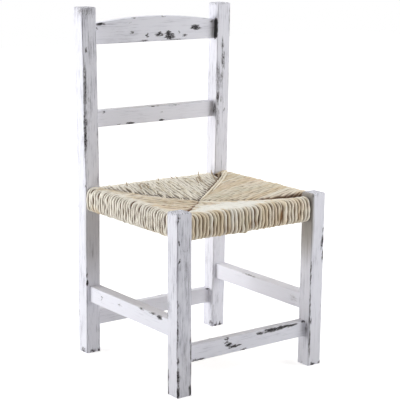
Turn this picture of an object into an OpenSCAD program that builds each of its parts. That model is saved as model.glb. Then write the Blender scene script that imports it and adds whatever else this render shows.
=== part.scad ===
// Ladder-back side chair: four square posts, a crest rail, one back slat, four rungs
// and a rush seat woven over four seat rails, all joined by mortise and tenon.
// Origin: middle of the footprint, on the floor. The front faces -Y and +Z is up.

/* [Overall] */
// Height to the top of the rear posts
chair_h = 900; // [820:1:980]
// Width over the outer faces of the feet
foot_w = 451; // [380:1:540]
// Depth from the front posts' front face to the rear feet's back face
foot_d = 451; // [380:1:540]
// Height of the front posts
front_post_h = 449; // [440:1:500]

/* [Posts] */
// Side of the square posts
post_s = 42; // [38:1:50]
// Radius of the posts' long edges
post_ease = 3; // [1:0.5:6]
// Radius of the rounding around each post's top
post_crown = 4; // [1:0.5:8]
// Outward lean of each front post, foot to top
front_splay = 2.5; // [0:0.5:8]
// Outward lean of each rear post, foot to knee
rear_splay = 1.5; // [0:0.5:8]
// Outward lean of each rear post, knee to top
back_splay = 6; // [0:0.5:12]
// Distance that the rear feet kick back behind the knee
foot_kick = 6; // [0:0.5:20]
// Distance that the rear posts' tops rake back behind the knee
back_rake = 2; // [0:0.5:30]
// Height of the rear posts' knee
knee_z = 447; // [446:1:500]

/* [Back slats] */
// Thickness of the crest rail and the back slat
slat_t = 24; // [16:1:26]
// Setback of the crest rail and the back slat from the rear posts' front faces
slat_back = 16; // [4:1:18]
// Drop from the rear posts' tops to the crest rail's straight lower edge
crest_drop = 95; // [70:1:130]
// Height of the crest rail's section at its ends
crest_h = 51; // [40:1:60]
// Rise of the crest rail's arched upper edge
crest_arch = 15; // [4:1:25]
// Height of the back slat's section
slat_h = 43; // [30:1:60]
// Drop of the back slat below the middle of the opening between seat and crest rail
slat_drop = 9.5; // [-40:0.5:40]

/* [Rungs] */
// Height of the rungs' section
rung_h = 42; // [30:1:50]
// Thickness of the front and back rungs
cross_rung_t = 22; // [16:1:26]
// Thickness of the side rungs
side_rung_t = 32; // [20:1:34]
// Setback of the front and back rungs from the posts' front faces
cross_rung_back = 16; // [4:1:18]
// Setback of both side rungs from the posts' -X faces, as they were marked out from one side
side_rung_back = 10; // [0:1:12]
// Height of the front rung's lower edge
front_rung_z = 76; // [40:1:90]
// Height of the back rung's lower edge
back_rung_z = 68; // [40:1:90]
// Height of the side rungs' lower edge
side_rung_z = 140; // [135:1:300]
// Radius of the long edges of rungs, slats and crest rail
bar_ease = 2.5; // [0.5:0.5:4]

/* [Seat] */
// Height of the seat rails' section
rail_h = 40; // [36:1:44]
// Thickness of the seat rails
rail_t = 20; // [16:1:24]
// Radius of the seat rails' long edges, where the cords bend over them
rail_ease = 5; // [2:0.5:7]
// Height of the front and back rails' upper faces
cross_rail_top = 427; // [415:1:430]
// Height of the side rails' upper faces
side_rail_top = 433.5; // [420:0.5:436]
// Setback of the front and back rails from the posts' outer faces
cross_rail_back = 15; // [12:1:18]
// Setback of the side rails from the posts' outer faces
side_rail_back = 11.5; // [11:0.5:18]
// Thickness of the twisted rush cord
cord_d = 11; // [8:0.5:13]
// Sag in the middle of the seat's upper face
seat_sag = 17; // [4:1:20]
// Rise in the middle of the seat's lower face
seat_lift = 6; // [0:1:12]

/* [Joints] */
// Length of every tenon
tenon_l = 24; // [16:1:28]
// Thickness of every tenon
tenon_t = 12; // [8:1:14]
// Shoulder above and below the tenons of rungs, slat and crest rail
tenon_shoulder = 6; // [3:1:10]
// Height of the seat rails' tenons, low on the cross rails and high on the side rails
rail_tenon_h = 14; // [10:1:15]
// Clearance around a tenon in its mortise
tenon_gap = 0.3; // [0.1:0.1:0.6]
// Clearance of the rush from its rails and from the posts
rush_gap = 0.3; // [0.2:0.1:0.6]

/* [Hidden] */

// Fragments of the bars' true round edges
$fn = 32;
// Steps around a quarter turn of a post's edge, and up the rounding of its top
edge_steps = 5;

// Front faces of the front posts, and of the rear posts at the floor
front_y = -foot_d/2;
rear_foot_y = foot_d/2 - post_s;

// Outer face of a front post at height z, as a distance from the middle plane
function front_x(z) = foot_w/2 + front_splay*z/front_post_h;

// Outer face of a rear post at height z
function rear_x(z) = z < knee_z
    ? foot_w/2 + rear_splay*z/knee_z
    : foot_w/2 + rear_splay + back_splay*(z - knee_z)/(chair_h - knee_z);

// Front face of a rear post at height z
function rear_y(z) = z < knee_z
    ? rear_foot_y - foot_kick*z/knee_z
    : rear_foot_y - foot_kick + back_rake*(z - knee_z)/(chair_h - knee_z);

// Half the clear width between the front posts, and between the rear posts, at height z
function front_half(z) = front_x(z) - post_s;
function rear_half(z) = rear_x(z) - post_s;

// Reach of the rush past a rail's faces, where the cords turn around it
wrap = cord_d + rush_gap;
seat_top = side_rail_top + wrap;

// Lower edges of the crest rail and the back slat
crest_z = chair_h - crest_drop;
slat_z = (seat_top + crest_z)/2 - slat_drop - slat_h/2;

// Lower faces of the seat rails, and of their tenons
cross_rail_z = cross_rail_top - rail_h;
side_rail_z = side_rail_top - rail_h;
cross_tenon_z = cross_rail_z + tenon_shoulder/2;
side_tenon_z = side_rail_top - tenon_shoulder/2 - rail_tenon_h;

// Middle of the thickness of each seat rail
front_rail_y = front_y + cross_rail_back + rail_t/2;
back_rail_y = rear_y(cross_rail_z) + post_s - cross_rail_back - rail_t/2;
side_rail_x = front_x(side_rail_z) - side_rail_back - rail_t/2;

// Middle of the thickness of each cross member
crest_y = rear_y(crest_z) + slat_back + slat_t/2;
slat_y = rear_y(slat_z) + slat_back + slat_t/2;
rung_front_y = front_y + cross_rung_back + cross_rung_t/2;
rung_back_y = rear_y(back_rung_z) + cross_rung_back + cross_rung_t/2;

// Middle of the thickness of each side rung
rung_left_x = -front_x(side_rung_z) + side_rung_back + side_rung_t/2;
rung_right_x = front_x(side_rung_z) - post_s + side_rung_back + side_rung_t/2;

// Radius of the crest rail's arched edge, from its chord and rise
crest_top = crest_z + crest_h;
crest_r = (rear_half(crest_top)^2 + crest_arch^2)/(2*crest_arch);
// Angle that the arch sweeps, with room to cut its ends on the posts
crest_turn = 4*asin(rear_half(crest_top)/crest_r);

// Clear spaces that the rush fills between front posts, between rear posts and front to back
rush_front_half = front_half(cross_rail_z - wrap) - rush_gap;
rush_back_half = rear_half(cross_rail_z - wrap) - rush_gap;
rush_y0 = front_y + post_s + rush_gap;
rush_y1 = rear_y(seat_top) - rush_gap;
// How far below the crown of each edge, and inside its ends, the flat fields of cord start
field_drop = 2;
field_inset = 1;

// ---- Sections and solids that repeat ----

// Points around a square with rounded corners, centred at c
function ring(c, side, r) = [
    for (q = [0:3], k = [0:edge_steps])
        let (a = 90*(q + k/edge_steps), sx = q == 0 || q == 3 ? 1 : -1, sy = q < 2 ? 1 : -1)
        c + [sx*(side/2 - r) + r*cos(a), sy*(side/2 - r) + r*sin(a), 0]
];

// Closed solid through rings of n points each
module skin(rings, n) {
    polyhedron(
        points = [for (r = rings) each r],
        faces = [
            [for (i = [0:n - 1]) i],
            for (j = [0:len(rings) - 2], i = [0:n - 1])
                [j*n + i, (j + 1)*n + i, (j + 1)*n + (i + 1) % n, j*n + (i + 1) % n],
            [for (i = [n - 1:-1:0]) (len(rings) - 1)*n + i]
        ]
    );
}

// Square post through the given centres, foot first, with a rounded top
module post_body(centres) {
    top = centres[len(centres) - 1];
    skin([
        for (i = [0:len(centres) - 2]) ring(centres[i], post_s, post_ease),
        for (k = [0:edge_steps])
            let (a = 90*k/edge_steps, inset = post_crown*(1 - cos(a)))
            ring(top - [0, 0, post_crown*(1 - sin(a))], post_s - 2*inset, post_ease)
    ], 4*(edge_steps + 1));
}

// Rectangle with round corners, centred
module round_rect(w, h, r) {
    square([w - 2*r, h], center = true);
    square([w, h - 2*r], center = true);
    for (x = [-1, 1], y = [-1, 1]) {
        translate([x*(w/2 - r), y*(h/2 - r)]) circle(r = r);
    }
}

// Rounded rectangle t by h drawn out along X, centred
module long_x(t, h, r, l) {
    translate([-l/2, 0, 0]) rotate([90, 0, 90]) linear_extrude(l) round_rect(t, h, r);
}

// Rounded rectangle t by h drawn out along Y, centred
module long_y(t, h, r, l) {
    translate([0, l/2, 0]) rotate([90, 0, 0]) linear_extrude(l) round_rect(t, h, r);
}

// Bar along X that ends on two leaning posts, half0 from the middle at its foot and half1 at its top
module cross_bar(y, t, z, h, half0, half1, r) {
    intersection() {
        translate([0, y + t/2, 0]) rotate([90, 0, 0]) linear_extrude(t)
            polygon([[-half0, z], [half0, z], [half1, z + h], [-half1, z + h]]);
        translate([0, y, z + h/2]) long_x(t, h, r, 2*foot_w);
    }
}

// Bar along Y from a front post's back face to a rear post's leaning front face
module side_bar(x, t, z, h, r) {
    y0 = front_y + post_s;
    intersection() {
        translate([x - t/2, 0, 0]) rotate([90, 0, 90]) linear_extrude(t)
            polygon([[y0, z], [rear_y(z), z], [rear_y(z + h), z + h], [y0, z + h]]);
        translate([x, 0, z + h/2]) long_y(t, h, r, 2*foot_d);
    }
}

// Tenon along X into the post on one side (-1 or 1), or its mortise, with gap all round
module cross_tenon(side, half, y, z, h, gap = 0) {
    translate([side*(half + tenon_l/4), y, z + h/2])
        cube([3*tenon_l/2 + 2*gap, tenon_t + 2*gap, h + 2*gap], center = true);
}

// Tenon along Y into the post at one end (-1 front, 1 rear), or its mortise, with gap all round
module side_tenon(end, x, z, h, gap = 0) {
    face = end < 0 ? front_y + post_s : rear_y(z + h/2);
    translate([x, face + end*tenon_l/4, z + h/2])
        cube([tenon_t + 2*gap, 3*tenon_l/2 + 2*gap, h + 2*gap], center = true);
}

// ---- Tenons, each drawn on its member and cut from its post ----

module front_rung_tenon(side, gap = 0) {
    cross_tenon(side, front_half(front_rung_z), rung_front_y,
        front_rung_z + tenon_shoulder, rung_h - 2*tenon_shoulder, gap);
}

module back_rung_tenon(side, gap = 0) {
    cross_tenon(side, rear_half(back_rung_z), rung_back_y,
        back_rung_z + tenon_shoulder, rung_h - 2*tenon_shoulder, gap);
}

module crest_tenon(side, gap = 0) {
    cross_tenon(side, rear_half(crest_z), crest_y,
        crest_z + tenon_shoulder, crest_h - 2*tenon_shoulder, gap);
}

module slat_tenon(side, gap = 0) {
    cross_tenon(side, rear_half(slat_z), slat_y,
        slat_z + tenon_shoulder, slat_h - 2*tenon_shoulder, gap);
}

module front_rail_tenon(side, gap = 0) {
    cross_tenon(side, front_half(cross_rail_z), front_rail_y, cross_tenon_z, rail_tenon_h, gap);
}

module back_rail_tenon(side, gap = 0) {
    cross_tenon(side, rear_half(cross_rail_z), back_rail_y, cross_tenon_z, rail_tenon_h, gap);
}

module side_rung_tenon(end, side, gap = 0) {
    side_tenon(end, side < 0 ? rung_left_x : rung_right_x,
        side_rung_z + tenon_shoulder, rung_h - 2*tenon_shoulder, gap);
}

module side_rail_tenon(end, side, gap = 0) {
    side_tenon(end, side*side_rail_x, side_tenon_z, rail_tenon_h, gap);
}

// ---- Posts ----

module post_front(side) {
    color("white") difference() {
        post_body([
            for (z = [0, front_post_h])
                [side*(front_x(z) - post_s/2), front_y + post_s/2, z]
        ]);
        front_rung_tenon(side, tenon_gap);
        front_rail_tenon(side, tenon_gap);
        side_rung_tenon(-1, side, tenon_gap);
        side_rail_tenon(-1, side, tenon_gap);
    }
}

module post_rear(side) {
    color("white") difference() {
        post_body([
            for (z = [0, knee_z, chair_h])
                [side*(rear_x(z) - post_s/2), rear_y(z) + post_s/2, z]
        ]);
        crest_tenon(side, tenon_gap);
        slat_tenon(side, tenon_gap);
        back_rung_tenon(side, tenon_gap);
        back_rail_tenon(side, tenon_gap);
        side_rung_tenon(1, side, tenon_gap);
        side_rail_tenon(1, side, tenon_gap);
    }
}

module post_front_left() { post_front(-1); }
module post_front_right() { post_front(1); }
module post_rear_left() { post_rear(-1); }
module post_rear_right() { post_rear(1); }

// ---- Back ----

// Board with a straight lower edge and a shallow arch above
module crest_rail() {
    color("white") {
        intersection() {
            cross_bar(crest_y, slat_t, crest_z, crest_h + 2*crest_arch,
                rear_half(crest_z), rear_half(crest_top + 2*crest_arch), bar_ease);
            translate([0, crest_y, crest_top + crest_arch - crest_r]) rotate([90, 0, 0])
                rotate([0, 0, 90 - crest_turn/2]) rotate_extrude(angle = crest_turn, $fn = 720)
                translate([crest_r - crest_h, 0]) round_rect(2*crest_h, slat_t, bar_ease);
        }
        for (side = [-1, 1]) {
            crest_tenon(side);
        }
    }
}

module back_slat() {
    color("white") {
        cross_bar(slat_y, slat_t, slat_z, slat_h,
            rear_half(slat_z), rear_half(slat_z + slat_h), bar_ease);
        for (side = [-1, 1]) {
            slat_tenon(side);
        }
    }
}

// ---- Rungs ----

module rung_front() {
    color("white") {
        cross_bar(rung_front_y, cross_rung_t, front_rung_z, rung_h,
            front_half(front_rung_z), front_half(front_rung_z + rung_h), bar_ease);
        for (side = [-1, 1]) {
            front_rung_tenon(side);
        }
    }
}

module rung_back() {
    color("white") {
        cross_bar(rung_back_y, cross_rung_t, back_rung_z, rung_h,
            rear_half(back_rung_z), rear_half(back_rung_z + rung_h), bar_ease);
        for (side = [-1, 1]) {
            back_rung_tenon(side);
        }
    }
}

module side_rung(side) {
    color("white") {
        side_bar(side < 0 ? rung_left_x : rung_right_x, side_rung_t, side_rung_z, rung_h, bar_ease);
        for (end = [-1, 1]) {
            side_rung_tenon(end, side);
        }
    }
}

module rung_left() { side_rung(-1); }
module rung_right() { side_rung(1); }

// ---- Seat ----

module seat_rail_front() {
    color("burlywood") {
        cross_bar(front_rail_y, rail_t, cross_rail_z, rail_h,
            front_half(cross_rail_z), front_half(cross_rail_top), rail_ease);
        for (side = [-1, 1]) {
            front_rail_tenon(side);
        }
    }
}

module seat_rail_back() {
    color("burlywood") {
        cross_bar(back_rail_y, rail_t, cross_rail_z, rail_h,
            rear_half(cross_rail_z), rear_half(cross_rail_top), rail_ease);
        for (side = [-1, 1]) {
            back_rail_tenon(side);
        }
    }
}

module seat_rail_side(side) {
    color("burlywood") {
        side_bar(side*side_rail_x, rail_t, side_rail_z, rail_h, rail_ease);
        for (end = [-1, 1]) {
            side_rail_tenon(end, side);
        }
    }
}

module seat_rail_left() { seat_rail_side(-1); }
module seat_rail_right() { seat_rail_side(1); }

// The four rails' sections made larger by e all round, drawn from l0 to l1 along each
module around_rails(e, front_l, back_l, y0, y1) {
    for (r = [[front_rail_y, front_l], [back_rail_y, back_l]]) {
        translate([0, r[0], cross_rail_top - rail_h/2])
            long_x(rail_t + 2*e, rail_h + 2*e, rail_ease + e, 2*r[1]);
    }
    for (side = [-1, 1]) {
        translate([side*side_rail_x, (y0 + y1)/2, side_rail_top - rail_h/2])
            long_y(rail_t + 2*e, rail_h + 2*e, rail_ease + e, y1 - y0);
    }
}

// Rim of the fields: cross-shaped around the posts, at zc on the cross rails and zs on the side rails
function field_rim(zc, zs) =
    let (
        xf = rush_front_half - field_inset,
        xb = rush_back_half - field_inset,
        y0 = rush_y0 + field_inset,
        y1 = rush_y1 - field_inset,
        zm = (zc + zs)/2
    ) [
        [-xf, front_rail_y, zc], [xf, front_rail_y, zc], [xf, y0, zm],
        [side_rail_x, y0, zs], [side_rail_x, y1, zs], [xb, y1, zm],
        [xb, back_rail_y, zc], [-xb, back_rail_y, zc], [-xb, y1, zm],
        [-side_rail_x, y1, zs], [-side_rail_x, y0, zs], [-xf, y0, zm]
    ];

// Two layers of cord that fall to the middle of the seat from above and rise to it from below
module fields() {
    low = field_rim(cross_rail_z - wrap + field_drop, side_rail_z - wrap + field_drop);
    high = field_rim(cross_rail_top + wrap - field_drop, seat_top - field_drop);
    n = len(low);
    mid_y = (front_rail_y + back_rail_y)/2;
    polyhedron(
        points = [
            each low, each high,
            [0, mid_y, cross_rail_z - wrap + seat_lift],
            [0, mid_y, cross_rail_top + wrap - seat_sag]
        ],
        faces = [
            for (i = [0:n - 1]) let (k = (i + 1) % n) each [
                [2*n, i, k],
                [i, n + i, n + k, k],
                [2*n + 1, n + k, n + i]
            ]
        ]
    );
}

// One woven piece: four rolls around the rails, and the fields between them
module rush_seat() {
    color("wheat") difference() {
        union() {
            around_rails(wrap, rush_front_half, rush_back_half, rush_y0, rush_y1);
            fields();
        }
        around_rails(rush_gap, foot_w, foot_w, -foot_d, foot_d);
    }
}

post_front_left();
post_front_right();
post_rear_left();
post_rear_right();
crest_rail();
back_slat();
rung_front();
rung_back();
rung_left();
rung_right();
seat_rail_front();
seat_rail_back();
seat_rail_left();
seat_rail_right();
rush_seat();
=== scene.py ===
import math

import bmesh
import bpy
import numpy as np
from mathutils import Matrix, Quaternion, Vector


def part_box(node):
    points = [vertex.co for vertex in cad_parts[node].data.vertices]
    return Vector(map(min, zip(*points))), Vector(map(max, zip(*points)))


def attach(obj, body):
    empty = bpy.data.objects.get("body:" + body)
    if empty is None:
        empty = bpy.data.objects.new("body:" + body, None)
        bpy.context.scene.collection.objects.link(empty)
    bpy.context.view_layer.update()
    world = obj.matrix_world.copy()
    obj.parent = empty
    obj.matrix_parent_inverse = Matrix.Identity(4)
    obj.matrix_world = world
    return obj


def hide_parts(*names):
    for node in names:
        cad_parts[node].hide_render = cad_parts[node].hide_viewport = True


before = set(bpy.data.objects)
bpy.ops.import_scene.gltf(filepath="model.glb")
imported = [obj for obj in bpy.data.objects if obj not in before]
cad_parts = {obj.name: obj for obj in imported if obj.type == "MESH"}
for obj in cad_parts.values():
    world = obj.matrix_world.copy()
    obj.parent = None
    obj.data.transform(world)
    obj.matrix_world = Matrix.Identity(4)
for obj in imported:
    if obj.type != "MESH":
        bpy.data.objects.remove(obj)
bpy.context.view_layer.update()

# ---- Camera ----
# It stands in front of the chair and to its left, a little higher than its back, and
# looks down on it through a long lens.
camera_data = bpy.data.cameras.new("camera")
camera_data.sensor_width = 36.0
camera_data.lens = 116.87
camera = bpy.data.objects.new("camera", camera_data)
view_direction = Vector((0.58214, 0.78664, -0.20569))
camera_roll = math.radians(0.458)
camera.location = (-1.9229, -2.6028, 1.0970)
camera.rotation_mode = "QUATERNION"
camera.rotation_quaternion = (
    view_direction.to_track_quat("-Z", "Y") @ Quaternion((0, 0, 1), camera_roll)
)
bpy.context.scene.collection.objects.link(camera)
bpy.context.scene.camera = camera

# ---- Front posts ----
# Two square hardwood legs, painted white over a dark ground and then rubbed back, so
# that the paint is thin on the faces and gone in flakes along the corners.
MM = 0.001


def srgb(red, green, blue):
    """The linear colour that shows as this one from 0 to 255."""
    shares = [channel / 255 for channel in (red, green, blue)]
    return (*[s / 12.92 if s <= 0.04045 else ((s + 0.055) / 1.055) ** 2.4 for s in shares], 1.0)


class Thread:
    """One shader socket that takes part in sums."""

    def __init__(self, finish, socket):
        self.finish = finish
        self.socket = socket

    def __add__(self, other):
        return self.finish.math("ADD", self, other)

    def __sub__(self, other):
        return self.finish.math("SUBTRACT", self, other)

    def __rsub__(self, other):
        return self.finish.math("SUBTRACT", other, self)

    def __mul__(self, other):
        return self.finish.math("MULTIPLY", self, other)

    def __abs__(self):
        return self.finish.math("ABSOLUTE", self)

    __radd__ = __add__
    __rmul__ = __mul__


class Finish:
    """The node tree of a material or a world, whose nodes are made in one way."""

    def __init__(self, owner):
        self.owner = owner
        owner.use_nodes = True
        self.tree = owner.node_tree
        self.tree.nodes.clear()

    def node(self, kind, settings=None, sockets=None, output=0):
        """A node of this kind, set up first, then fed with values or links."""
        made = self.tree.nodes.new("ShaderNode" + kind)
        for name, value in (settings or {}).items():
            setattr(made, name, value)
        for key, value in (sockets or {}).items():
            if isinstance(value, Thread):
                self.tree.links.new(value.socket, made.inputs[key])
            else:
                made.inputs[key].default_value = value
        return Thread(self, made.outputs[output]) if made.outputs else None

    def math(self, operation, *terms):
        return self.node("Math", {"operation": operation}, dict(enumerate(terms)))

    def least(self, one, other):
        return self.math("MINIMUM", one, other)

    def most(self, one, other):
        return self.math("MAXIMUM", one, other)

    def step(self, value, start, end):
        """Rises smoothly from 0 at start to 1 at end."""
        sockets = {"Value": value, "From Min": start, "From Max": end}
        return self.node("MapRange", {"interpolation_type": "SMOOTHSTEP"}, sockets)

    def blend(self, share, one, other):
        """One colour at share 0, the other at share 1."""
        factor, first, second, result = 0, 6, 7, 2
        sockets = {factor: share, first: one, second: other}
        return self.node("Mix", {"data_type": "RGBA"}, sockets, output=result)

    def vector(self, operation, *terms):
        return self.node("VectorMath", {"operation": operation}, dict(enumerate(terms)))

    def place(self):
        """Where a point is on the chair, in millimetres."""
        metres = self.node("TexCoord", output="Object")
        return self.node("VectorMath", {"operation": "SCALE"}, {0: metres, "Scale": 1 / MM})

    def attribute(self, name, output="Fac"):
        """A value that the mesh carries from point to point."""
        return self.node("Attribute", {"attribute_name": name}, output=output)

    def laid(self, place, scales, shift=(0.0, 0.0, 0.0)):
        """The place stretched by a scale per axis, then shifted."""
        return self.node("Mapping", None, {"Vector": place, "Location": shift, "Scale": scales})

    def noise(self, place, scales, shift, detail, rough):
        """Noise stretched by a scale per axis, centred on nought."""
        sockets = {"Vector": self.laid(place, scales, shift), "Scale": 1.0}
        sockets.update({"Detail": detail, "Roughness": rough})
        return self.node("TexNoise", None, sockets) - 0.5

    def close(self, colour, roughness, height, gloss=0.5):
        """Ends the tree in one surface with this gloss and a relief in millimetres."""
        relief = self.node("Bump", None, {"Strength": 1.0, "Distance": MM, "Height": height})
        sockets = {"Base Color": colour, "Roughness": roughness, "Normal": relief}
        surface = self.node("BsdfPrincipled", None, {**sockets, "Specular IOR Level": gloss})
        self.node("OutputMaterial", None, {"Surface": surface})
        return self.owner

    def spot(self, place, centre, reach):
        """Falls from 1 at a centre to 0 at this reach along each axis."""
        scales = [1 / size for size in reach]
        shift = [-middle / size for middle, size in zip(centre, reach)]
        sockets = {"Vector": self.laid(place, scales, shift)}
        return self.node("TexGradient", {"gradient_type": "SPHERICAL"}, sockets, output="Fac")


white_paint = srgb(238, 238, 246)
thin_white = srgb(198, 198, 210)
grey_hair = srgb(128, 126, 134)
dark_ground = srgb(66, 64, 67)
deep_ground = srgb(34, 33, 36)
rubbed_grey = srgb(134, 131, 132)
dust_and_shade_brown = srgb(134, 124, 104)


def worn_paint(name, grain_axis, margins, marks, seed, dust_and_shade=(), veil=0.8, hairs=0.7):
    """Rubbed white paint: margins gives the depths under two faces, marks the bare zones.

    Each mark and each patch in dust_and_shade is a centre, its reach along X, Y and Z, and a
    strength.
    The patches are dust, except where one is painted shade under the seat. A few marks are painted
    shadow in recesses next to rails and rungs, left bare to the dark ground.
    The veil is how much the thin paint shows, and the hairs are the grey lines in the grain.
    """
    coat = Finish(bpy.data.materials.new(name))
    place = coat.place()
    axes = [coat.node("SeparateXYZ", None, {"Vector": place}, output=k) for k in "XYZ"]
    shift = (seed * 37.0, seed * 11.0, seed * 53.0)

    def stretched(across, along):
        return tuple(along if k == grain_axis else across for k in range(3))

    streaks = coat.noise(place, stretched(across=0.30, along=0.012), shift, detail=4.0, rough=0.6)
    fine = coat.noise(place, stretched(across=0.9, along=0.02), shift, detail=2.0, rough=0.6)
    blotches = coat.noise(place, stretched(across=0.045, along=0.018), shift, detail=3.0, rough=0.6)
    flakes = coat.noise(place, stretched(across=0.5, along=0.22), shift, detail=4.0, rough=0.75)

    # The marks have ragged outlines, because each place is moved a little, most along the grain
    sockets = {"Vector": coat.laid(place, stretched(across=0.25, along=0.08)), "Scale": 1.0}
    drift = coat.node("TexNoise", None, {**sockets, "Detail": 2.0}, output="Color")
    drift = coat.vector("SUBTRACT", drift, (0.5, 0.5, 0.5))
    torn = coat.vector("MULTIPLY_ADD", drift, stretched(across=7.0, along=30.0), place)

    over, under = margins(*axes)
    edge = 1.0 - coat.step(over + under, start=0.5, end=4.5)
    zone = edge * coat.step(streaks + blotches, start=-0.1, end=0.4) * 0.45
    for x, y, z, wide, deep, high, amount in marks:
        zone = coat.most(zone, coat.spot(torn, (x, y, z), (wide, deep, high)) * amount)

    flaked = zone + flakes * (zone + 0.5) * 3.0 + streaks * 0.5
    chipped = coat.step(flaked, start=0.68, end=0.76)
    handled = zone * 1.3 + flakes * 0.9 + streaks * 0.9
    rubbed = coat.step(handled, start=0.25, end=0.9)
    faded = streaks * 0.85 + fine * 0.9 + blotches * 0.9 + zone * 0.55
    thin = coat.step(faded, start=-0.1, end=0.6)
    lined = fine + streaks * 0.4 + blotches * 0.35 + zone * 0.22
    hair = coat.step(lined, start=0.12, end=0.24)

    colour = coat.blend(thin * veil, white_paint, thin_white)
    colour = coat.blend(hair * hairs, colour, grey_hair)
    colour = coat.blend(rubbed * 0.7, colour, rubbed_grey)
    # Brown grey patches: dust, and painted shade where the seat shades a post.
    for x, y, z, wide, deep, high, amount in dust_and_shade:
        near = coat.spot(place, (x, y, z), (wide, deep, high)) + streaks * 0.3
        colour = coat.blend(coat.step(near, start=0.0, end=0.7) * amount, colour, dust_and_shade_brown)
    ground = coat.blend(coat.step(fine, start=-0.15, end=0.2), dark_ground, deep_ground)
    colour = coat.blend(chipped, colour, ground)
    roughness = 0.52 + thin * 0.16 + chipped * 0.15
    height = streaks * 0.14 + fine * 0.10 + blotches * 0.3 - hair * 0.05 - chipped * 0.25
    return coat.close(colour, roughness, height, gloss=0.3)


def paint_node(node, material):
    """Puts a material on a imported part."""
    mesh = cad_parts[node].data
    mesh.materials.clear()
    mesh.materials.append(material)


def post_margins(side, foot_x, foot_y, knee_z, knee_x, knee_y, lean_x, lean_y):
    """Depths under the side faces and the front and back faces of a post.

    Its middle goes straight from the foot to the knee, and leans this much per millimetre above.
    """
    half = 21.0

    def margins(x, y, z):
        below = z.finish.least(z, knee_z)
        above = z.finish.most(z - knee_z, 0.0)
        middle_x = side * (foot_x + below * ((knee_x - foot_x) / knee_z) + above * lean_x)
        middle_y = foot_y + below * ((knee_y - foot_y) / knee_z) + above * lean_y
        return half - abs(x - middle_x), half - abs(y - middle_y)

    return margins


def knocks(seed, *rows):
    """Chips scattered over stretches: each row gives how many, and a span for each measure."""
    rng = np.random.default_rng(seed)
    marks = []
    for count, *spans in rows:
        for _ in range(count):
            marks.append((*(rng.uniform(*span) for span in spans), rng.uniform(0.95, 1.6)))
    return marks


along_x, along_y, along_z = 0, 1, 2
corner_size = (5, 8)
chip_heights = (8, 55)
split_heights = (20, 90)
front_left_marks = [
    (-224, -226, 441, 6, 4, 6, 1.2), (-226, -226, 430, 4, 4, 8, 1.3),
    (-222, -226, 377, 4, 3, 6, 1.5), (-222, -226, 335, 4, 3, 6, 1.5),
    (-226, -226, 229, 5, 4, 14, 1.1), (-226, -226, 165, 5, 4, 80, 1.0),
    (-225, -226, 92, 6, 4, 20, 1.2), (-225, -226, 50, 8, 5, 36, 1.2),
    (-226, -226, 12, 9, 6, 26, 1.5), (-187, -226, 12, 8, 5, 26, 1.3),
    (-186, -226, 100, 5, 4, 120, 0.9), (-203, -226, 80, 26, 4, 150, 0.32),
    (-205, -205, 450, 200, 200, 5, 0.55), (-206, -226, 359, 24, 3, 3, 0.6),
    (-203, -226, 320, 44, 16, 200, 0.33),
] + knocks(
    21,
    (7, (-186, -184), (-186, -183), (10, 440), corner_size, corner_size, chip_heights),
    (3, (-227, -225), (-186, -183), (10, 200), corner_size, corner_size, (6, 30)),
    (3, (-215, -195), (-184, -183), (40, 380), (4, 9), (4, 6), split_heights),
)
front_right_marks = [
    (184, -226, 445, 6, 5, 10, 1.2), (223, -226, 352, 5, 4, 10, 1.0),
    (222, -226, 325, 4, 4, 20, 1.7), (223, -226, 284, 4, 4, 22, 1.7),
    (218, -226, 318, 3, 4, 26, 1.1), (226, -226, 157, 5, 5, 10, 1.2),
    (185, -226, 241, 4, 4, 70, 1.1), (186, -226, 150, 4, 4, 90, 1.1),
    (187, -226, 60, 4, 4, 70, 1.1), (188, -205, 6, 6, 12, 8, 1.2), (199, -226, 3, 12, 6, 8, 1.2),
    (222, -226, 3, 9, 6, 8, 1.2), (190, -224, 118, 4, 5, 12, 1.3),
    (208, -205, 450, 200, 200, 5, 0.5), (192, -186, 446, 14, 8, 10, 0.7),
    # The next mark paints the shadow of the front rung on the inner face in front of it.
    (186, -214, 97, 5, 12, 24, 0.75),
] + knocks(
    22,
    (8, (226, 228), (-186, -183), (10, 440), corner_size, corner_size, chip_heights),
    (4, (227, 228), (-215, -193), (30, 420), (4, 6), (4, 9), split_heights),
    (3, (195, 217), (-184, -183), (40, 380), (4, 9), (4, 6), split_heights),
)
front_left_dust = [(-205, -205, 0, 60, 60, 200, 0.12)]
# The first patch is painted shade under the seat on the inner face; the second is dirt near the
# floor.
front_right_dust_and_shade = [(184, -205, 390, 12, 60, 150, 0.75), (205, -205, 0, 60, 60, 200, 0.12)]
for name, side, marks, dust_and_shade, seed, veil, hairs in (
    ("post_front_left", -1, front_left_marks, front_left_dust, 1, 1.0, 1.0),
    ("post_front_right", 1, front_right_marks, front_right_dust_and_shade, 2, 0.8, 0.7),
):
    margins = post_margins(
        side, foot_x=204.5, foot_y=-204.5, knee_z=449.0, knee_x=207.0, knee_y=-204.5,
        lean_x=0.0, lean_y=0.0,
    )
    finish = worn_paint(name + "_paint", along_z, margins, marks, seed, dust_and_shade, veil, hairs)
    paint_node(name, finish)

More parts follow.
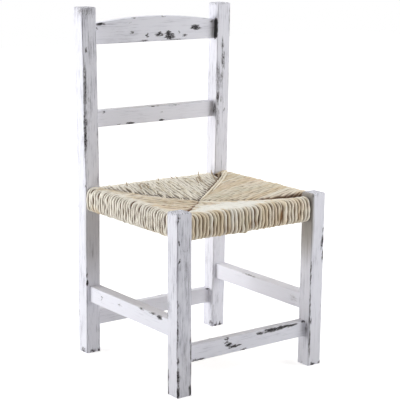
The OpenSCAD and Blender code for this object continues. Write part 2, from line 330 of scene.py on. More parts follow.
# ---- Rear posts ----
# Two taller legs that carry the back, bent a little at the seat. Hands and weather have
# rubbed their tops grey, and the paint has split off in long slivers.
rear_left_marks = [
    (-212, 196, 902, 200, 200, 14, 0.5), (-214, 184, 890, 44, 26, 34, 0.62),
    (-222, 180, 795, 5, 5, 8, 1.4), (-226, 180, 700, 7, 6, 95, 1.1),
    (-226, 180, 590, 7, 6, 110, 1.15), (-218, 180, 650, 24, 4, 150, 0.5),
    (-190, 180, 570, 6, 5, 80, 0.85), (-227, 180, 447, 4, 4, 7, 1.5),
    (-226, 180, 214, 5, 5, 12, 1.4), (-225, 180, 192, 6, 5, 11, 1.8), (-224, 200, 5, 6, 16, 8, 1.3),
    (-207, 183, 4, 11, 5, 8, 1.3), (-187, 183, 3, 8, 5, 9, 1.4),
    (-208, 180, 800, 44, 16, 130, 0.36), (-233, 188, 893, 12, 34, 30, 0.56),
] + knocks(
    23,
    (9, (-187, -184), (222, 225), (10, 890), corner_size, corner_size, chip_heights),
    (4, (-231, -227), (222, 225), (10, 890), corner_size, corner_size, (6, 40)),
    (5, (-218, -194), (221, 225), (40, 860), (4, 9), (4, 6), split_heights),
)
rear_right_marks = [
    (207, 180, 790, 8, 5, 34, 0.85), (209, 180, 745, 12, 5, 56, 0.85),
    (206, 180, 700, 10, 5, 50, 0.75), (193, 180, 700, 7, 5, 80, 0.85),
    (193, 180, 650, 7, 5, 30, 1.3), (193, 180, 600, 7, 5, 70, 0.9), (206, 180, 633, 10, 4, 40, 0.7),
    (214, 180, 611, 6, 4, 9, 1.1), (231, 180, 850, 5, 5, 70, 0.9),
    (212, 190, 903, 200, 200, 12, 0.5), (230, 182, 690, 5, 6, 50, 1.1),
    (186, 190, 10, 6, 12, 10, 1.3), (196, 183, 3, 10, 5, 8, 1.3), (212, 183, 3, 8, 5, 8, 1.3),
    # The next four marks paint shadow, with some wear, on the inner face in front of the crest rail
    # and the slat, bare to the dark ground.
    (190, 188, 846, 6, 10, 15, 3.6), (190, 188, 831, 6, 10, 15, 3.6),
    (190, 188, 816, 6, 10, 15, 3.6), (189, 187, 615, 7, 12, 26, 0.95),
] + knocks(
    24,
    (10, (227, 231), (222, 225), (10, 890), corner_size, corner_size, chip_heights),
    (2, (185, 187), (222, 225), (450, 890), corner_size, corner_size, (6, 30)),
    (5, (226, 232), (192, 212), (40, 860), (4, 7), (4, 9), split_heights),
    (5, (196, 220), (221, 225), (40, 860), (4, 9), (4, 6), split_heights),
)
# Painted shade on the front face below the seat, where the seat's shadow falls.
rear_left_shade = [(-205, 180, 330, 60, 12, 150, 0.3)]
for name, side, marks, dust_and_shade, seed in (
    ("post_rear_left", -1, rear_left_marks, rear_left_shade, 3),
    ("post_rear_right", 1, rear_right_marks, (), 4),
):
    margins = post_margins(
        side, foot_x=204.5, foot_y=204.5, knee_z=447.0, knee_x=206.0, knee_y=198.5,
        lean_x=6 / 453, lean_y=2 / 453,
    )
    paint_node(name, worn_paint(name + "_paint", along_z, margins, marks, seed, dust_and_shade))

# ---- Crest rail and back slat ----
# Two boards of the same painted wood, tenoned between the rear posts, the upper one with an
# arched top. They took the most knocks, and are bare in patches down to the dark ground.
crest_low, crest_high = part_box("crest_rail")
slat_low, slat_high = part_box("back_slat")


def board_margins(low, high, arch=0.0):
    """Depths under the broad faces and the edges of a board along X, arched if need be."""
    half_span = 190.0

    def margins(x, y, z):
        top = high.z / MM - x * x * (arch / half_span**2)
        edges = z.finish.least(z - low.z / MM, top - z)
        faces = z.finish.least(y - low.y / MM, high.y / MM - y)
        return faces, edges

    return margins


crest_marks = [
    (-172, 195, 857, 20, 8, 6, 1.5), (-182, 195, 845, 5, 8, 8, 1.0), (-67, 197, 867, 9, 8, 4, 0.9),
    (-78, 195, 855, 6, 4, 4, 0.8), (22, 197, 869, 9, 8, 4, 0.9), (-75, 195, 831, 8, 5, 6, 1.4),
    (-27, 195, 822, 6, 5, 8, 1.6), (12, 195, 824, 16, 5, 9, 1.6), (40, 195, 824, 12, 5, 10, 1.9),
    (46, 195, 816, 20, 5, 14, 1.5), (76, 195, 826, 6, 4, 6, 1.1), (96, 195, 817, 9, 4, 6, 1.1),
    (128, 195, 837, 20, 5, 9, 2.0), (-34, 195, 808, 24, 5, 4, 0.85), (60, 195, 807, 60, 5, 4, 0.7),
    (184, 195, 850, 8, 6, 6, 0.8), (-120, 195, 835, 70, 4, 30, 0.3),
] + knocks(
    25,
    (8, (-165, 165), (218, 220), (812, 852), (7, 26), (5, 7), (4, 10)),
    (4, (-165, 165), (217, 220), (805, 807), (10, 34), (5, 7), (4, 6)),
)
slat_marks = [
    (-162, 194, 632, 7, 5, 7, 1.0), (-6, 194, 636, 22, 5, 4, 0.9), (16, 194, 619, 6, 4, 5, 0.9),
    (-115, 194, 595, 9, 5, 4, 0.9), (-80, 194, 596, 20, 6, 6, 1.6), (18, 194, 596, 11, 6, 6, 1.5),
    (60, 194, 634, 40, 4, 4, 0.6),
] + knocks(
    26,
    (4, (-165, 165), (217, 219), (600, 630), (7, 22), (5, 7), (4, 8)),
    (4, (-165, 165), (216, 219), (594, 595), (10, 34), (5, 7), (4, 6)),
    (3, (-165, 165), (216, 219), (636, 637), (10, 34), (5, 7), (4, 6)),
)
slat_dust = [(0, 206, 637, 260, 30, 3, 0.45)]
crest_margins = board_margins(crest_low, crest_high, arch=15.0)
slat_margins = board_margins(slat_low, slat_high)
paint_node("crest_rail", worn_paint(
    "crest_rail_paint", along_x, crest_margins, crest_marks, seed=5, veil=0.45, hairs=0.35
))
paint_node("back_slat", worn_paint(
    "back_slat_paint", along_x, slat_margins, slat_marks, seed=6, dust_and_shade=slat_dust,
    veil=0.3, hairs=0.3,
))

# ---- Rungs ----
# Four plain bars of the same painted wood, tenoned low between the posts, the two at the
# sides thicker and higher. Feet have scuffed the front one along its upper edge.
front_rung_marks = [
    (-67, -209, 116, 7, 5, 6, 1.8), (-72, -209, 106, 9, 5, 6, 1.5), (-60, -209, 99, 12, 5, 8, 2.0),
    (-46, -209, 92, 17, 5, 6, 2.0), (-30, -209, 92, 12, 5, 4, 1.4), (38, -209, 110, 18, 5, 6, 1.3),
    (72, -209, 112, 38, 6, 7, 1.9), (112, -209, 113, 38, 6, 6, 2.0),
    (142, -209, 113, 16, 5, 5, 1.4), (-165, -209, 79, 12, 5, 5, 1.3),
    (-146, -209, 78, 22, 5, 5, 1.2), (-16, -209, 79, 18, 5, 5, 1.1), (178, -209, 116, 9, 5, 6, 1.3),
] + knocks(27, (6, (-165, 165), (-189, -187), (76, 118), (8, 30), (5, 7), (4, 8)))
left_rung_marks = [
    (-216, 124, 162, 4, 3, 12, 1.1), (-216, 40, 166, 4, 16, 5, 0.8),
    (-216, -60, 180, 5, 18, 4, 1.0), (-216, -108, 180, 5, 22, 5, 1.1),
    (-216, -136, 178, 5, 16, 7, 1.3),
] + knocks(28, (5, (-186, -184), (-165, 165), (142, 181), (5, 7), (8, 26), (4, 8)))
right_rung_marks = [
    (195, 30, 181, 5, 60, 4, 0.8), (195, -150, 160, 4, 30, 24, 0.5),
] + knocks(29, (8, (225, 227), (-165, 165), (141, 182), (5, 7), (8, 30), (4, 8)))
back_rung_marks = [(178, 199, 108, 6, 4, 5, 1.2)] + knocks(
    30, (7, (-165, 165), (219, 221), (68, 110), (8, 30), (5, 7), (4, 8))
)


def bar_margins(low, high):
    """Depths under the broad faces and the edges of a bar along Y."""

    def margins(x, y, z):
        sides = z.finish.least(x - low.x / MM, high.x / MM - x)
        edges = z.finish.least(z - low.z / MM, high.z / MM - z)
        return sides, edges

    return margins


for name, grain_axis, margins_of, marks, seed, veil, hairs in (
    ("rung_front", along_x, board_margins, front_rung_marks, 7, 0.4, 0.4),
    ("rung_back", along_x, board_margins, back_rung_marks, 8, 0.2, 0.3),
    ("rung_left", along_y, bar_margins, left_rung_marks, 9, 0.15, 0.2),
    ("rung_right", along_y, bar_margins, right_rung_marks, 10, 0.0, 0.1),
):
    margins = margins_of(*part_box(name))
    finish = worn_paint(name + "_paint", grain_axis, margins, marks, seed, (), veil, hairs)
    paint_node(name, finish)

# ---- Seat rails ----
# Four bars of bare softwood between the posts, never painted, because the rush is wound
# round them and hides them.
pine_light = srgb(196, 160, 112)
pine_dark = srgb(142, 104, 66)


def bare_wood(name, grain_axis, seed):
    """Unpainted pine with long rings along its grain."""
    pine = Finish(bpy.data.materials.new(name))
    place = pine.place()
    shift = (seed * 29.0, seed * 17.0, seed * 41.0)
    rings_scale = tuple(0.008 if k == grain_axis else 0.22 for k in range(3))
    fibre_scale = tuple(0.05 if k == grain_axis else 1.6 for k in range(3))
    rings = pine.noise(place, rings_scale, shift, detail=3.0, rough=0.5)
    fibres = pine.noise(place, fibre_scale, shift, detail=2.0, rough=0.6)
    darker = pine.step(rings + fibres * 0.5, start=-0.2, end=0.25)
    colour = pine.blend(darker, pine_light, pine_dark)
    return pine.close(colour, 0.66 + fibres * 0.2, rings * 0.2 + fibres * 0.15)


for name, grain_axis, seed in (
    ("seat_rail_front", along_x, 11), ("seat_rail_back", along_x, 12),
    ("seat_rail_left", along_y, 13), ("seat_rail_right", along_y, 14),
):
    paint_node(name, bare_wood(name + "_pine", grain_axis, seed))

# ---- Rush seat ----
# Twisted rush cords, wound over one rail after another from the corners to the middle, so
# that they meet in four seams. Each cord goes over its rail, down, and back underneath.
cord_radius = 5.5
ring_sides = 16
ring_gap = 2.8
rail_clear = 0.3
rail_round = 5.0
shortest_reach = 21.0
seam_z_top, seam_z_low = 417.0, 382.0
seam_middle = (0.0, -3.0)
front_left, front_right = (-183.3, -183.2), (183.3, -183.2)
rear_left, rear_right = (-183.3, 177.2), (187.0, 144.0)
post_gaps = ((-183.3, 183.3), (-183.2, 177.2))
field_drop = 4.0
field_curve = 1.5
full_turn = 6.28
up = np.array([0.0, 0.0, 1.0])


def even_steps(points, gap, fewest=4):
    """The same route in even steps of about this gap."""
    points = np.array(points, float)
    runs = np.concatenate([[0.0], np.cumsum(np.linalg.norm(np.diff(points, axis=0), axis=1))])
    steps = np.linspace(0.0, runs[-1], max(int(runs[-1] / gap), fewest) + 1)
    return np.stack([np.interp(steps, runs, row) for row in points.T], 1), steps


def arc(centre, radius, start, end, count=7):
    """Points of an arc in the plane of one cord, angles in degrees."""
    turns = np.radians(np.linspace(start, end, count))
    return [(centre[0] + radius * math.cos(t), centre[1] + radius * math.sin(t)) for t in turns]


def cord_route(crown, sole, reach, top_z, low_z, drop):
    """One cord in its own plane: out from the seam, round the rail, back below to the seam.

    At the seam it comes up from under the cords that cross it, and ends the same way below.
    """
    high, low = crown - cord_radius, sole + cord_radius
    bend = rail_round + rail_clear + cord_radius
    route = [(-reach - 5, top_z - 17 - drop), (-reach - 4, top_z - 11 - drop)]
    route += [(-reach - 1, top_z - 7 - drop * 0.5), (-reach + 5, top_z - cord_radius)]
    route += [(-rail_round - 4, high - 0.8), (-rail_round + 2, high)]
    route += arc((rail_round, high - bend), bend, 90, 0)
    route += arc((rail_round, low + bend), bend, 0, -90)
    route += [(-rail_round, low), (-reach + 5, low_z + cord_radius)]
    route += [(-reach - 1, low_z + 7), (-reach - 4, low_z + 11), (-reach - 5, low_z + 16)]
    return route


def wander(steps, rng, spans, size):
    """A slow random drift along a cord."""
    total = np.zeros(len(steps))
    for span in spans:
        height = rng.normal(0, size)
        phase = rng.uniform(0, full_turn)
        total += height * np.sin(steps * 2 * math.pi / span + phase)
    return total


def sweep_cords(name, cords, lobes, lobe_depth):
    """Sweeps round cords along their routes as curves, then presses and twists them.

    The mesh carries four values from point to point for the finish: where a fibre runs, how near
    the crest of its cord a point is, lowered on the field by the painted groove shade, the tone of
    the cord, and how near the seam the point is, which deepens the painted shade there.
    """
    curve = bpy.data.curves.new(name, "CURVE")
    curve.dimensions = "3D"
    curve.bevel_depth = 1.0
    curve.bevel_resolution = ring_sides // 2 - 2
    for cord in cords:
        spline = curve.splines.new("POLY")
        spline.points.add(len(cord["middle"]) - 1)
        spline.points.foreach_set("co", np.pad(cord["middle"], ((0, 0), (0, 1))).ravel())
    swept = bpy.data.objects.new(name + "_sweep", curve)
    bpy.context.scene.collection.objects.link(swept)
    drawn = swept.evaluated_get(bpy.context.evaluated_depsgraph_get())
    mesh = bpy.data.meshes.new_from_object(drawn)
    bpy.data.objects.remove(swept)
    bpy.data.curves.remove(curve)

    ring = {
        key: np.repeat(np.concatenate([cord[key] for cord in cords]), ring_sides, axis=0)
        for key in cords[0]
    }
    corners = np.empty(len(mesh.vertices) * 3)
    mesh.vertices.foreach_get("co", corners)
    spokes = corners.reshape(-1, 3) - ring["middle"]
    aside = np.einsum("ij,ij->i", spokes, ring["across"])
    rise = np.einsum("ij,ij->i", spokes, ring["out"])
    size = np.hypot(aside, rise)
    aside, rise = aside / size, rise / size
    angle = np.arctan2(rise, aside) - ring["turn"]
    mean_lobe = 0.64
    lobe = 1 + lobe_depth * (np.abs(np.cos(lobes / 2 * angle)) - mean_lobe)
    moved = ring["middle"] + ring["across"] * (aside * ring["wide"] * lobe)[:, None]
    moved += ring["out"] * (rise * ring["thick"] * lobe)[:, None]
    mesh.vertices.foreach_set("co", (moved * MM).ravel())

    fibre = np.stack([np.cos(angle) * cord_radius, np.sin(angle) * cord_radius, ring["length"]], 1)
    mesh.attributes.new("fibre", "FLOAT_VECTOR", "POINT").data.foreach_set("vector", fibre.ravel())
    for key, values in (
        ("crest", rise - ring["groove_shade"]), ("tone", ring["tone"]), ("seam", ring["seam"]),
    ):
        mesh.attributes.new(key, "FLOAT", "POINT").data.foreach_set("value", values)
    closed = bmesh.new()
    closed.from_mesh(mesh)
    bmesh.ops.holes_fill(closed, edges=[edge for edge in closed.edges if edge.is_boundary])
    bmesh.ops.recalc_face_normals(closed, faces=closed.faces)
    closed.to_mesh(mesh)
    closed.free()
    mesh.shade_smooth()
    return mesh


def wind_rail(
    side, corners, seed, count=35, spread=0.15, snug=0.97, flat=1.3, taper=0.9, taper_run=12.0,
    lean=0.0, sway=0.4, loose=0.05, gap_run=6.0, field_shade=0.0, gap_until=-999.0,
    corner_gap=6.0, corner_lean=0.0, wide_cords=(), pushes=(), bulges=(),
):
    """The cords over one rail, from one corner's seam to the other's, each a little its own.

    Widths are shares of the room that a cord has: snug round the rail, flat on the field, and
    tapered over the last run to the seam. Up to gap_until the cords lean by corner_lean, and the
    painted shade in their gaps at the seam runs corner_gap long; past it these are lean and
    gap_run.
    The field_shade value paints shade into the grooves on the field. Pushes move a cord aside on
    the rail's face, and bulges swell the lower edge of the wrap.
    """
    corner_ramp = 40.0
    face_out, face_reach = 15.0, 13.0
    lean_from = 9.0
    push_low, push_run, push_width = 42.0, 30.0, 1.4
    bulge_up, bulge_reach = 5.0, 12.0
    field_from, field_blend = 10.0, 5.0
    rng = np.random.default_rng(seed)
    low, high = (np.array(corner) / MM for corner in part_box("seat_rail_" + side))
    crown = high[2] + rail_clear + 2 * cord_radius
    sole = low[2] - rail_clear - 2 * cord_radius
    lengthwise = along_x if side in ("front", "back") else along_y
    sign = -1.0 if side in ("front", "left") else 1.0
    rail = (low + high)[1 - lengthwise] / 2
    across, outward = np.zeros(3), np.zeros(3)
    across[lengthwise], outward[1 - lengthwise] = 1.0, sign
    depth = sign * (rail - seam_middle[1 - lengthwise])
    start, end = post_gaps[lengthwise]
    shares = rng.uniform(1 - spread, 1 + spread, count)
    for where, share in wide_cords:
        shares[int((where - start) / (end - start) * count)] = share
    ends = start + (end - start) * np.concatenate([[0.0], np.cumsum(shares)]) / shares.sum()
    cords = []
    for first, last in zip(ends[:-1], ends[1:]):
        place, pitch = (first + last) / 2, last - first
        cornered = min(max((gap_until - place) / corner_ramp, 0.0), 1.0)
        slant = lean + cornered * (corner_lean - lean)
        options = []
        for way, corner in zip((-1, 1), corners):
            rim = sign * (rail - corner[1 - lengthwise])
            slope = (depth - rim) / abs(corner[lengthwise] - seam_middle[lengthwise])
            run = depth - slope * way * (place - seam_middle[lengthwise])
            run /= 1 - way * slope * slant
            options.append((run, min(max((run - rim) / (depth - rim), 0.0), 1.0)))
        reach, nearness = min(options)
        reach = max(reach, shortest_reach)
        edge_z = crown - field_drop
        top_z = edge_z + (seam_z_top - edge_z) * (1 - (1 - nearness) ** field_curve)
        low_z = sole + (seam_z_low - sole) * nearness
        route = cord_route(crown, sole, reach, top_z, low_z, drop=rng.uniform(0, 3))
        plan, steps = even_steps(route, ring_gap)
        along = np.gradient(plan, axis=0)
        along /= np.linalg.norm(along, axis=1)[:, None]
        out = np.stack([-along[:, 1], along[:, 0]], 1)
        on_face = np.exp(-(((plan[:, 0] - face_out) / face_reach) ** 2))
        swing = wander(steps, rng, spans=(30, 55, 90), size=sway)
        swing -= slant * np.clip(-plan[:, 0] - lean_from, 0, None)
        high_up = np.clip((plan[:, 1] - crown + push_low) / push_run, 0, 1)
        for where, shift in pushes:
            near = math.exp(-(((place - where) / pitch * push_width) ** 2))
            swing += near * shift * on_face * high_up
        lift = wander(steps, rng, spans=(40, 75), size=0.25) + rng.normal(0, 0.3)
        low_down = np.exp(-(((plan[:, 1] - sole - bulge_up) / bulge_reach) ** 2))
        for where, span, amount in bulges:
            near = math.exp(-(((place - where) / span) ** 2))
            lift += near * amount * low_down * on_face
        plan = plan + out * lift[:, None]
        on_field = 1 / (1 + np.exp((plan[:, 0] + field_from) / field_blend))
        narrow = taper + (1 - taper) * np.clip((plan[:, 0] + reach) / taper_run, 0, 1)
        open_run = gap_run + cornered * (corner_gap - gap_run)
        wide = pitch / 2 * (snug + (flat - snug) * on_field) * narrow
        cords.append({
            "middle": across * place + abs(outward) * rail + outward * plan[:, :1]
            + up * plan[:, 1:] + across * swing[:, None],
            "across": np.tile(across, (len(plan), 1)),
            "out": outward * out[:, :1] + up * out[:, 1:],
            "wide": wide * (1 + wander(steps, rng, spans=(22, 35, 80), size=loose)),
            "thick": cord_radius * (1 + wander(steps, rng, spans=(30, 65), size=0.04)),
            "turn": steps * full_turn / rng.uniform(85, 130) + rng.uniform(0, full_turn),
            "tone": np.full(len(plan), rng.uniform(0, 1)),
            "seam": np.clip(1 - (plan[:, 0] + reach) / open_run, 0, 1),
            "length": steps + rng.uniform(0, 500),
            # Lowering the crest value on the field paints shade into the grooves between the cords.
            "groove_shade": on_field * field_shade,
        })
    return cords


straw_white = srgb(253, 250, 240)
straw_pale = srgb(250, 243, 226)
wrap_white = srgb(254, 248, 234)
straw = srgb(230, 212, 180)
straw_green = srgb(202, 198, 170)
straw_pink = srgb(234, 206, 180)
straw_brown = srgb(152, 116, 78)
# gap_brown and gap_deep are painted shade, with some dirt, down between the cords and deepest at
# the seams.
gap_brown = srgb(118, 78, 38)
gap_deep = srgb(82, 53, 26)


def rush_finish(
    name, pale, gaps, gap_start, gap_end, stains=(), pale_sheen=(), seam_shade=0.5,
    sheen_on_gaps=0.85, sheen_colour=straw_white,
):
    """Dry rush: fibres along the twist, a tone to each cord, brown down in the gaps.

    The brown is painted shade with some dirt in it: it lies where the crest value is under
    gap_start, fades out by gap_end, and grows darker towards the seam. Each stain and each place of
    pale sheen is a centre, its reach along X, Y and Z, and a strength. The pale sheen is paler
    straw with a painted highlight over it.
    """
    rush = Finish(bpy.data.materials.new(name))
    place = rush.place()
    lay = rush.attribute("fibre", output="Vector")
    crest = rush.attribute("crest")
    tone = rush.attribute("tone")
    seam = rush.attribute("seam")
    fibres = rush.noise(lay, (0.9, 0.9, 0.03), (3, 7, 1), detail=3.0, rough=0.6)
    leaves = rush.noise(lay, (0.30, 0.30, 0.012), (9, 2, 5), detail=2.0, rough=0.5)
    tint = rush.noise(place, (0.012, 0.012, 0.02), (4, 31, 8), detail=2.0, rough=0.5)

    lighter = rush.step(leaves + tone * 0.5 - 0.25, start=-0.3, end=0.3)
    greener = rush.step(tint + leaves * 0.6, start=0.0, end=0.35) * 0.6
    pinker = rush.step(leaves * 0.8 - tint, start=0.0, end=0.35) * 0.5
    browner = rush.step(fibres + leaves * 0.5, start=0.08, end=0.3) * 0.45
    colour = rush.blend(lighter, straw, straw_pale)
    colour = rush.blend(greener, colour, straw_green)
    colour = rush.blend(pinker, colour, straw_pink)
    colour = rush.blend(browner, colour, straw_brown)
    colour = rush.blend(pale, colour, straw_pale)
    for x, y, z, wide, deep, high, amount in stains:
        near = rush.spot(place, (x, y, z), (wide, deep, high)) + leaves
        colour = rush.blend(rush.step(near, start=0.1, end=0.6) * amount, colour, straw_brown)

    # Painted shade with some dirt: brown down the sides of the cords and in the gaps, deeper near
    # the seam.
    gap_shade = 1.0 - rush.step(crest + fibres * 0.25 - seam * seam_shade, gap_start, gap_end)
    gap_shade = gap_shade * (seam * (1 - gaps) + gaps)
    # Painted highlight: each pale sheen place lifts the colour towards near white and thins the gap
    # shade, over straw that is paler there as well.
    for x, y, z, wide, deep, high, amount in pale_sheen:
        near = rush.spot(place, (x, y, z), (wide, deep, high))
        near = near + leaves * 0.5 + tint * 0.4 + tone * 0.3 - 0.15
        near = rush.step(near, start=0.05, end=0.4) * amount
        colour = rush.blend(near, colour, sheen_colour)
        gap_shade = gap_shade * (1.0 - near * sheen_on_gaps)
    colour = rush.blend(gap_shade, colour, rush.blend(seam, gap_brown, gap_deep))
    roughness = 0.5 + fibres * 0.3
    height = fibres * 0.5 + leaves * 0.6
    return rush.close(colour, roughness, height, gloss=0.3)


def hang_piece(name, mesh, material):
    """Puts a finished rush piece on the chair."""
    piece = bpy.data.objects.new(name, mesh)
    piece.data.materials.append(material)
    bpy.context.scene.collection.objects.link(piece)
    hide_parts("rush_seat")
    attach(piece, "root")


front_stains = [
    (0, -222, 396, 22, 12, 18, 0.7), (88, -222, 404, 9, 12, 24, 1.0),
    (146, -222, 396, 9, 12, 16, 0.6), (-78, -222, 388, 16, 12, 18, 0.35),
    (-120, -222, 398, 14, 12, 20, 0.3),
]
# Pale sheen: a painted highlight over paler straw on the front field, and a small pale place on the
# front wrap.
front_sheen = [(-27, -150, 432, 160, 80, 30, 1.0), (104, -222, 408, 9, 10, 26, 0.35)]
front_cords = wind_rail(
    "front", (front_left, front_right), seed=21, spread=0.14, flat=1.4, taper_run=14.0,
    wide_cords=[(94, 0.5), (105, 1.8)], pushes=[(-4, -3.5), (18, 3.5)], bulges=[(-24, 13, 5.5)],
)
front_straw = rush_finish(
    "front_straw", pale=0.08, gaps=0.92, gap_start=0.22, gap_end=0.94,
    stains=front_stains, pale_sheen=front_sheen,
)
front_weave = sweep_cords("rush_front", front_cords, lobes=2, lobe_depth=0.16)
hang_piece("rush_front", front_weave, front_straw)

back_cords = wind_rail(
    "back", (rear_left, rear_right), seed=22, spread=0.2, snug=0.96, flat=0.92, taper=0.22,
    taper_run=40.0, lean=0.17, sway=0.7, loose=0.08, gap_run=24.0, field_shade=0.26,
    gap_until=20.0, corner_gap=42.0, corner_lean=0.17,
)
back_straw = rush_finish(
    "back_straw", pale=0.95, gaps=0.36, gap_start=0.22, gap_end=0.52,
    # The pale sheen on the back field is a painted highlight over paler straw.
    pale_sheen=[(10, 100, 432, 300, 200, 60, 1.0)], seam_shade=0.28, sheen_on_gaps=0.0,
    sheen_colour=wrap_white,
)
back_weave = sweep_cords("rush_back", back_cords, lobes=2, lobe_depth=0.14)
hang_piece("rush_back", back_weave, back_straw)

left_cords = wind_rail(
    "left", (front_left, rear_left), seed=23, spread=0.22, snug=0.88, taper_run=10.0,
    sway=0.7, loose=0.1, field_shade=0.25,
)
left_straw = rush_finish(
    "left_straw", pale=0.0, gaps=1.0, gap_start=0.32, gap_end=0.8,
    # The pale sheen along the top of the left wrap is a painted highlight over paler straw.
    pale_sheen=[(-226, 0, 424, 44, 300, 64, 1.0)], sheen_on_gaps=0.0, sheen_colour=wrap_white,
)
left_weave = sweep_cords("rush_left", left_cords, lobes=2, lobe_depth=0.16)
hang_piece("rush_left", left_weave, left_straw)

right_stains = [
    (223, 120, 440, 9, 4, 8, 0.9), (131, 84, 428, 12, 4, 8, 0.8), (169, 66, 432, 14, 4, 8, 0.8),
    (202, 66, 444, 12, 4, 8, 0.7), (71, -99, 424, 20, 4, 8, 0.8),
]
right_cords = wind_rail(
    "right", (front_right, rear_right), seed=24, spread=0.18, taper=0.5, taper_run=20.0,
    gap_run=5.0, field_shade=0.24, gap_until=-126.0, corner_gap=34.0, corner_lean=0.5,
)
right_straw = rush_finish(
    "right_straw", pale=0.0, gaps=0.8, gap_start=0.05, gap_end=0.8,
    stains=right_stains, seam_shade=0.55,
)
right_weave = sweep_cords("rush_right", right_cords, lobes=3, lobe_depth=0.2)
hang_piece("rush_right", right_weave, right_straw)

# ---- Filling of the seat ----
# Broken dry rush stuffed between the upper and the lower cords, brown and dusty, and darker
# still as painted shade, which shows as dark wedges where the cords draw together at the seams.
filling_low = 391.5
filling_inset = 10.0
filling_half = (189.0, 179.0)
filling_cuts = 23
field_half = (183.3, 180.2)
field_rim = 438.3


def field_top(x, y):
    """Height of the crowns of the cords over a place in the seat."""
    shares = abs(x) / field_half[0], abs(y - seam_middle[1]) / field_half[1]
    corner_share = 0.999
    near, far = min(shares), min(max(shares), 1.0)
    seam_start = field_rim - field_drop
    seam = seam_start - (seam_start - seam_z_top) * (1 - near**field_curve)
    return field_rim + (seam - field_rim) * (1 - far) / (1 - min(near, corner_share))


filling = bmesh.new()
bmesh.ops.create_cube(filling, size=1.0)
bmesh.ops.subdivide_edges(
    filling, edges=filling.edges, cuts=filling_cuts, use_grid_fill=True
)
for corner in filling.verts:
    x = corner.co.x * 2 * filling_half[0]
    y = corner.co.y * 2 * filling_half[1] + seam_middle[1]
    top = field_top(x, y) - filling_inset
    corner.co = Vector((x, y, filling_low + (corner.co.z + 0.5) * (top - filling_low))) * MM
filling_data = bpy.data.meshes.new("rush_filling")
filling.to_mesh(filling_data)
filling.free()
filling_data.shade_smooth()

# Both browns are darker than dry rush, as painted shade for the deep seams.
husk_dark = srgb(52, 38, 24)
husk_light = srgb(104, 78, 48)
husk = Finish(bpy.data.materials.new("husk"))
scraps = husk.noise(husk.place(), (0.3, 0.3, 0.3), (5, 9, 2), detail=4.0, rough=0.7)
husk_colour = husk.blend(husk.step(scraps, start=-0.15, end=0.2), husk_dark, husk_light)
husk_finish = husk.close(husk_colour, roughness=0.8 + scraps * 0.2, height=scraps * 2.0)
hang_piece("rush_filling", filling_data, husk_finish)

# ---- Loose strands of the rush ----
# The last cords lie along the seam from the middle to the rear right. Single leaves lie
# loose on the rear field or have come up in loops, and broken ends stick out at the rear.
strand_gap = 2.4
smoothings = 3


def lay_strand(route, wide, thick, tone, rng, twist=90.0, blunt=0.25):
    """One loose strand along a route, thinner towards both of its ends."""
    middle, steps = even_steps(route, strand_gap)
    for _ in range(smoothings):
        middle[1:-1] = (middle[:-2] + 2 * middle[1:-1] + middle[2:]) / 4
    along = np.gradient(middle, axis=0)
    along /= np.linalg.norm(along, axis=1)[:, None]
    across = np.cross(along, up)
    across /= np.linalg.norm(across, axis=1)[:, None]
    share = steps / steps[-1]
    slim = np.clip(np.minimum(share, 1 - share) * 8, blunt, 1)
    return {
        "middle": middle + across * wander(steps, rng, spans=(30, 60), size=0.4)[:, None],
        "across": across,
        "out": np.cross(across, along),
        "wide": wide * slim,
        "thick": thick * slim,
        "turn": steps * full_turn / twist,
        "tone": np.full(len(middle), tone),
        "seam": np.zeros(len(middle)),
        "length": steps + rng.uniform(0, 500),
        "groove_shade": np.zeros(len(middle)),
    }


rng = np.random.default_rng(31)
seam_strands = [
    [(-8, -10, 412), (4, -2, 418), (35, 20, 421), (73, 51, 424.5), (114, 83, 429), (151, 112, 434),
     (178, 134, 441), (196, 148, 448), (206, 156, 449), (214, 162, 445)],
    [(70, 40, 418), (82, 48, 425), (120, 77, 430), (156, 105, 436), (182, 126, 444),
     (196, 138, 449)],
]
strands = [lay_strand(route, wide=2.7, thick=2.2, tone=0.8, rng=rng) for route in seam_strands]
brown_edge = [
    (60, 52, 421), (88, 73, 424), (122, 99, 429), (154, 124, 435), (178, 146, 442), (196, 162, 446),
]
strands.append(lay_strand(brown_edge, wide=1.7, thick=1.3, tone=0.1, rng=rng))
curls = [
    [(-88, 132, 428), (-80, 146, 434), (-73, 162, 438), (-62, 176, 439), (-56, 164, 439),
     (-60, 144, 436), (-68, 124, 428)],
    [(88, 112, 424), (94, 134, 434), (104, 156, 439), (112, 158, 439), (106, 130, 434),
     (93, 76, 424)],
    [(184, 190, 432), (178, 184, 441), (168, 168, 441), (150, 130, 432), (138, 104, 424)],
    [(198, 168, 438), (190, 160, 444), (176, 150, 440), (160, 128, 430)],
]
for route in curls:
    strands.append(lay_strand(route, wide=1.5, thick=0.9, tone=0.2, rng=rng, twist=60.0))
for foot_x, foot_y, tip_x, tip_y, tip_z in (
    (128, 176, 131, 182, 451), (4, 190, 8, 194, 446), (50, 186, 40, 192, 445),
    (66, 190, 60, 196, 444), (176, 182, 180, 188, 447), (-96, 190, -90, 200, 442),
):
    rush_z = 438
    halfway = (foot_x + tip_x) / 2, (foot_y + tip_y) / 2, (rush_z + tip_z) / 2 + 1
    route = [(foot_x, foot_y - 14, 430), (foot_x, foot_y, rush_z), halfway, (tip_x, tip_y, tip_z)]
    strands.append(lay_strand(route, wide=1.3, thick=0.8, tone=0.25, rng=rng, twist=60.0))

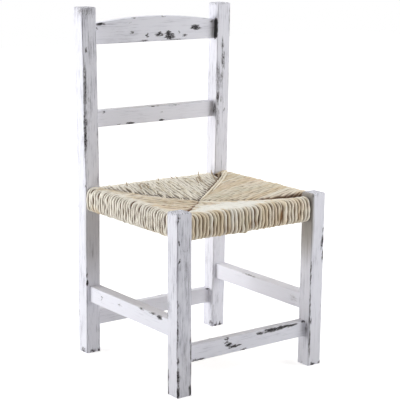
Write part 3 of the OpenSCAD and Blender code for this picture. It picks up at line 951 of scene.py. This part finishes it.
leaf_tries = 46
shortest_leaf = 25
for _ in range(leaf_tries):
    x = rng.uniform(-120, 165)
    far_y = rng.uniform(60, 186)
    seam_y = abs(x) * 0.95 + 6
    near_y = max(far_y - rng.uniform(35, 80), seam_y)
    if far_y - near_y < shortest_leaf:
        continue
    skew = rng.uniform(-0.1, 0.3)
    stops = np.linspace(far_y, near_y, 5)
    route = [(x - skew * (far_y - y), y, field_top(x - skew * (far_y - y), y) + 0.6) for y in stops]
    for end in (0, -1):
        route[end] = (*route[end][:2], route[end][2] - 4)
    wide = rng.uniform(1.6, 2.6)
    tone = rng.choice([0.8, 1.0])
    strands.append(lay_strand(route, wide, thick=0.9, tone=tone, rng=rng, twist=150.0))

leaf_brown = srgb(120, 96, 72)
leaf = Finish(bpy.data.materials.new("leaf_straw"))
leaf_lay = leaf.attribute("fibre", output="Vector")
leaf_fibres = leaf.noise(leaf_lay, (0.9, 0.9, 0.03), (3, 7, 1), detail=3.0, rough=0.6)
dryness = leaf.attribute("tone") + leaf_fibres * 0.4
leaf_colour = leaf.blend(leaf.step(dryness, start=0.0, end=0.5), leaf_brown, straw)
leaf_colour = leaf.blend(leaf.step(dryness, start=0.5, end=0.9), leaf_colour, straw_pale)
leaf_straw = leaf.close(leaf_colour, 0.5 + leaf_fibres * 0.3, leaf_fibres * 0.4, gloss=0.3)
strand_mesh = sweep_cords("rush_strands", strands, lobes=2, lobe_depth=0.14)
hang_piece("rush_strands", strand_mesh, leaf_straw)

# ---- Floor, light and background ----
# A pale studio floor in a white surround, under four soft lamps: two on the chair's left
# towards the rear, a high one and a low one, one at the front right, and one overhead.
floor_data = bpy.data.meshes.new("floor")
laid_floor = bmesh.new()
floor_half = 8.0
bmesh.ops.create_grid(laid_floor, x_segments=1, y_segments=1, size=floor_half)
laid_floor.to_mesh(floor_data)
laid_floor.free()
floor = bpy.data.objects.new("floor", floor_data)
bpy.context.scene.collection.objects.link(floor)


def looked_at(finish):
    """1 for what is seen straight on, in a gloss or through glass, 0 for light on the chair."""
    kinds = ("Is Camera Ray", "Is Glossy Ray", "Is Transmission Ray")
    camera_ray, gloss_ray, clear_ray = [finish.node("LightPath", output=kind) for kind in kinds]
    return finish.most(finish.most(camera_ray, gloss_ray), clear_ray)


floor_grey = srgb(240, 240, 240)
white = (1, 1, 1, 1)
screed = Finish(bpy.data.materials.new("floor_screed"))
floor_place = screed.node("TexCoord", output="Object")
measured = {"operation": "LENGTH"}
distance = screed.node("VectorMath", measured, {0: floor_place}, output="Value")
matt = screed.node("BsdfDiffuse", None, {"Color": floor_grey})
near_white = 0.6
whitening = near_white + screed.step(distance, start=0.5, end=2.5) * (1 - near_white)
glowing = {"Color": white, "Strength": looked_at(screed) * whitening}
glow = screed.node("Emission", None, glowing)
both = screed.node("AddShader", None, {0: matt, 1: glow})
screed.node("OutputMaterial", None, {"Surface": both})
floor_data.materials.append(screed.owner)

surround = Finish(bpy.data.worlds.new("surround"))
bpy.context.scene.world = surround.owner
ambient = 0.12
brightness = ambient + looked_at(surround) * (1 - ambient)
sky = surround.node("Background", None, {"Color": white, "Strength": brightness})
surround.node("OutputWorld", None, {"Surface": sky})


def soft_lamp(name, place, aim, width, height, power):
    """A rectangular soft lamp turned to a point."""
    lamp_data = bpy.data.lights.new(name, "AREA")
    lamp_data.shape = "RECTANGLE"
    lamp_data.size, lamp_data.size_y = width, height
    lamp_data.energy = power
    lamp = bpy.data.objects.new(name, lamp_data)
    lamp.location = place
    lamp.rotation_euler = (Vector(aim) - Vector(place)).to_track_quat("-Z", "Y").to_euler()
    bpy.context.scene.collection.objects.link(lamp)


chair_middle = (0.0, 0.0, 0.45)
soft_lamp("lamp_left", (-2.4, 2.2, 1.6), chair_middle, width=2.0, height=2.0, power=40)
soft_lamp("lamp_low", (-2.4, 2.2, 0.4), chair_middle, width=2.0, height=0.6, power=50)
soft_lamp("lamp_right", (1.8, -1.5, 1.1), chair_middle, width=1.6, height=1.6, power=34)
soft_lamp("lamp_top", (0.2, 0.5, 3.0), chair_middle, width=2.2, height=2.2, power=40)

scene = bpy.context.scene
scene.view_settings.view_transform = "Standard"
